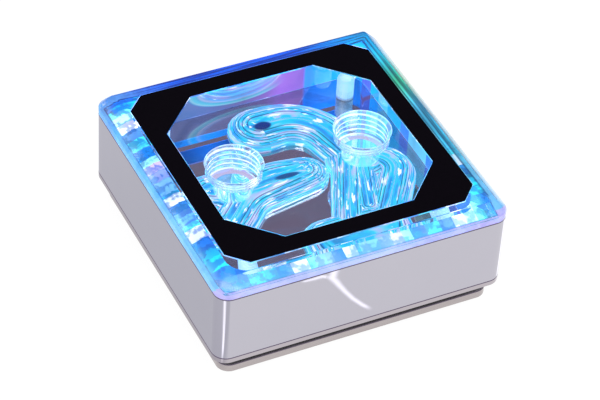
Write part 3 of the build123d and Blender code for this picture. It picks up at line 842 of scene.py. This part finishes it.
table, tree, shader, place = mottled_material(
    "table_top", (0.87, 0.87, 0.88), (0.9, 0.9, 0.9), 60.0, 0.9)[:4]
feed(tree, shader, {"Specular IOR Level": 0.0})
ray = add_node(tree, "ShaderNodeLightPath", {}).outputs
dimmer = add_math(tree, "MULTIPLY", ray["Is Glossy Ray"],
                  ramp_between(tree, split_axes(tree, place)["X"], -0.031, -0.037, 0.0, 0.27))
glow = add_node(tree, "ShaderNodeEmission", {
    "Color": add_mix(tree, dimmer, (1, 1, 1), (0.78, 0.80, 1.0)),
    "Strength": add_math(tree, "SUBTRACT", 1.05, dimmer)})
seen = add_math(tree, "MAXIMUM", ray["Is Camera Ray"], ray["Is Glossy Ray"])
seen = add_math(tree, "MAXIMUM", seen, ray["Is Transmission Ray"])
mix_surface(tree, add_math(tree, "MULTIPLY", seen, 0.85), shader, glow)
floor_mesh = bpy.data.meshes.new("studio_floor")
floor_corners = [(-floor_half, -floor_half, 0), (floor_half, -floor_half, 0),
                 (floor_half, floor_half, 0), (-floor_half, floor_half, 0)]
floor_mesh.from_pydata(floor_corners, [], [(0, 1, 2, 3)])
floor_mesh.materials.append(table)
floor = add_object("studio_floor", floor_mesh)

# Strip lights of the studio, seen only in the polished metal: a forked one in front of the block, and one
# off each of its two front corners. Each is brightest along its middle and fades at its edges and ends.
# Each strip has a middle line and half widths in millimetres.
ribbons = (
    ([(-4.6, -55.9), (0.8, -55.8), (3.0, -54.6)], (0.3, 0.8, 1.0)),
    ([(7.0, -58.9), (4.0, -56.2), (2.7, -54.4), (3.1, -51.6), (3.4, -49.5), (4.0, -46.8), (5.0, -44.3),
      (6.4, -41.8)], (1.1, 1.4, 1.6, 1.2, 1.05, 1.0, 0.95, 0.9)),
    ([(-35.9, -35.9), (-56.0, -56.0), (-78.0, -78.0)], (0.8, 9.5, 20.0)),
    ([(36.4, -33.7), (64.0, -22.6), (92.0, -11.2)], (0.9, 7.5, 15.0)))
ribbon_level = 0.0001
ribbon_points, ribbon_faces, ribbon_places = [], [], []
for line, half_widths in ribbons:
    first = len(ribbon_points)
    line = [Vector(point) for point in line]
    for index, (spot, run, half_width) in enumerate(zip(line, line_runs(line), half_widths)):
        for side in (-1, 0, 1):
            point = spot + side * half_width * Vector((-run.y, run.x))
            ribbon_points.append((point.x / 1000, point.y / 1000, ribbon_level))
            ribbon_places.append((1 - abs(side), index / (len(line) - 1)))
    for index in range(len(line) - 1):
        for side in (0, 1):
            corner = first + index * 3 + side
            ribbon_faces.append((corner, corner + 1, corner + 4, corner + 3))
ribbon_mesh = bpy.data.meshes.new("studio_strips")
ribbon_mesh.from_pydata(ribbon_points, [], ribbon_faces)
ribbon_layer = ribbon_mesh.uv_layers.new(name="UVMap")
for loop in ribbon_mesh.loops:
    ribbon_layer.data[loop.index].uv = ribbon_places[loop.vertex_index]
strip, tree, shader, place = new_material("studio_strip_light")
unrolled, ribbon = unrolled_wall(tree)
end_fade = add_math(tree, "MULTIPLY", ramp_between(tree, ribbon["Y"], 0.0, 0.12),
                    ramp_between(tree, ribbon["Y"], 1.0, 0.88))
fade = add_math(tree, "MULTIPLY", ramp_between(tree, ribbon["X"], 0.0, 1.0), end_fade)
shine = add_node(tree, "ShaderNodeEmission", {"Color": (0.97, 0.97, 1.0, 1), "Strength": 2.1})
mix_surface(tree, fade, add_node(tree, "ShaderNodeBsdfTransparent", {}), shine)
ribbon_mesh.materials.append(strip)
studio_strips = add_object("studio_strips", ribbon_mesh)
studio_strips.visible_camera = False
studio_strips.visible_diffuse = False
studio_strips.visible_transmission = False
studio_strips.visible_shadow = False

# Studio: a white sweep behind, soft lamps above the front left and the right, and a dim lilac ceiling
# behind the block, which its mirror floor shows.
world = bpy.data.worlds.new("studio")
bpy.context.scene.world = world
world.use_nodes = True
tree = world.node_tree
ray = add_node(tree, "ShaderNodeLightPath", {}).outputs
deep = add_math(tree, "MAXIMUM", ray["Is Glossy Ray"], ray["Is Transmission Ray"])
tint = add_mix(tree, deep, (0.75, 0.75, 0.76), (0.30, 0.26, 0.38))
feed(tree, tree.nodes["Background"], {
    "Color": add_mix(tree, ray["Is Camera Ray"], tint, (1, 1, 1)), "Strength": 1.0})
for lamp_name, spot, power, size in (("soft_left", (-0.7, -0.5, 0.9), 9, 0.8),
                                     ("soft_right", (0.8, -0.3, 0.8), 6, 0.7)):
    lamp = bpy.data.lights.new(lamp_name, "AREA")
    lamp.energy = power
    lamp.size = size
    lamp_object = add_object(lamp_name, lamp)
    lamp_object.location = spot
    lamp_object.rotation_euler = (-Vector(spot)).to_track_quat("-Z", "Y").to_euler()
    lamp_object.visible_glossy = False
bpy.context.scene.view_settings.view_transform = "Standard"

# Camera: long lens, from the front left and above, at the photograph's angle.
# It is turned a few degrees about its own axis, so that the block leans in the picture as it does there.
lens = bpy.data.cameras.new("camera")
lens.lens = 156.9
lens.sensor_width = 36.0
camera = add_object("camera", lens)
aim = Euler((math.radians(90 - 41.38), 0, math.radians(-27.99))).to_matrix()
camera.matrix_world = Matrix.LocRotScale(Vector((-0.20460, -0.38675, 0.39787)),
                                         aim @ Matrix.Rotation(math.radians(3.797), 3, "Z"), None)
bpy.context.scene.camera = camera
